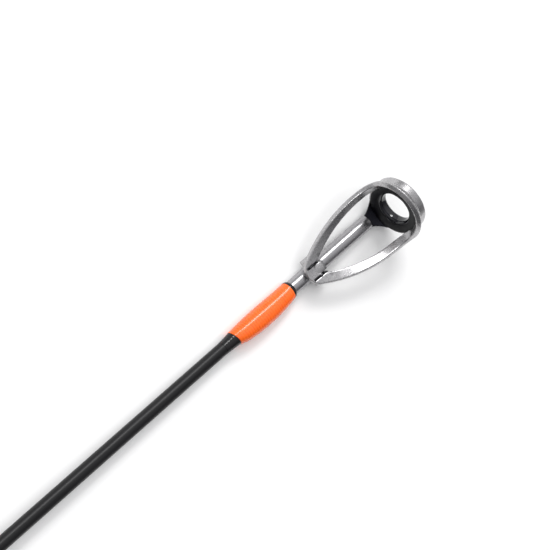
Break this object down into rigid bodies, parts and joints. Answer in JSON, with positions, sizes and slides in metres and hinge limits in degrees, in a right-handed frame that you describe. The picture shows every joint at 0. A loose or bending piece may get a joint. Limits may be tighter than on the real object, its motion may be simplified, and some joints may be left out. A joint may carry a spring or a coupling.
{
  "type": "ice fishing rod",
  "caption": "Short ice fishing rod with a cork handle, a screw-locking reel seat, wrapped line guides and a ringed tip guide.",
  "frame": {"origin": "centre of the butt cap's flat end", "axes": "+X along the rod from the butt to the tip, +Z the side that the guides and the reel are on, Y sideways"},
  "size_m": [0.61, 0.0252, 0.0353],
  "materials": {
    "graphite_blank": "satin clear coat over dark carbon fibre",
    "orange_thread": "nylon thread sealed in glossy epoxy",
    "black_thread": "black nylon thread sealed in glossy epoxy",
    "stainless_steel": "tumbled satin",
    "ceramic_ring": "polished dark oxide ceramic",
    "shock_nylon": "moulded black nylon",
    "cork": "turned and sanded natural cork",
    "butt_rubber": "moulded black rubber",
    "orange_anodised": "orange anodised",
    "black_anodised": "black anodised, satin",
    "seat_nylon": "moulded glass-filled nylon",
    "liner_steel": "pressed, bright",
    "arbor_foam": "rigid foam"
  },
  "bodies": {
    "rod": {"blank_butt_section": "graphite_blank", "blank_tip_section": "graphite_blank", "butt_cap": "butt_rubber", "butt_trim_ring": "orange_anodised", "fixed_hood": "seat_nylon", "fixed_hood_liner": "liner_steel", "fore_grip_corks": "cork", "guide_1_frame": "stainless_steel", "guide_1_ring": "ceramic_ring", "guide_1_shock_ring": "shock_nylon", "guide_1_wraps": "orange_thread", "guide_2_frame": "stainless_steel", "guide_2_ring": "ceramic_ring", "guide_2_shock_ring": "shock_nylon", "guide_2_wraps": "orange_thread", "guide_3_frame": "stainless_steel", "guide_3_ring": "ceramic_ring", "guide_3_shock_ring": "shock_nylon", "guide_3_wraps": "orange_thread", "hook_keeper": "stainless_steel", "hook_keeper_wraps": "orange_thread", "rear_grip_corks": "cork", "seat_arbors": "arbor_foam", "seat_body": "seat_nylon", "seat_collar": "black_anodised", "splice_wrap": "black_thread", "threaded_barrel": "seat_nylon", "tip_frame": "stainless_steel", "tip_ring": "ceramic_ring", "tip_shock_ring": "shock_nylon", "tip_trim_wraps": "black_thread", "tip_tube": "stainless_steel", "tip_wrap": "orange_thread", "winding_check": "black_anodised"},
    "hood": {"sliding_hood": "seat_nylon", "sliding_hood_liner": "liner_steel", "nut_snap_ring": "liner_steel"},
    "nut": {"lock_nut": "orange_anodised"}
  },
  "joints": [
    {"name": "hood_slide", "type": "slide", "parent": "rod", "child": "hood", "axis": [1, 0, 0], "range_m": [-0.009, 0.009]},
    {"name": "nut_turn", "type": "hinge", "parent": "hood", "child": "nut", "pos_m": [0.1216, 0, 0], "axis": [1, 0, 0], "range_deg": [-2160, 2160]}
  ],
  "couplings": [
    {"joint": "hood_slide", "follows": "nut_turn", "m_per_rad": 0.00023873}
  ]
}
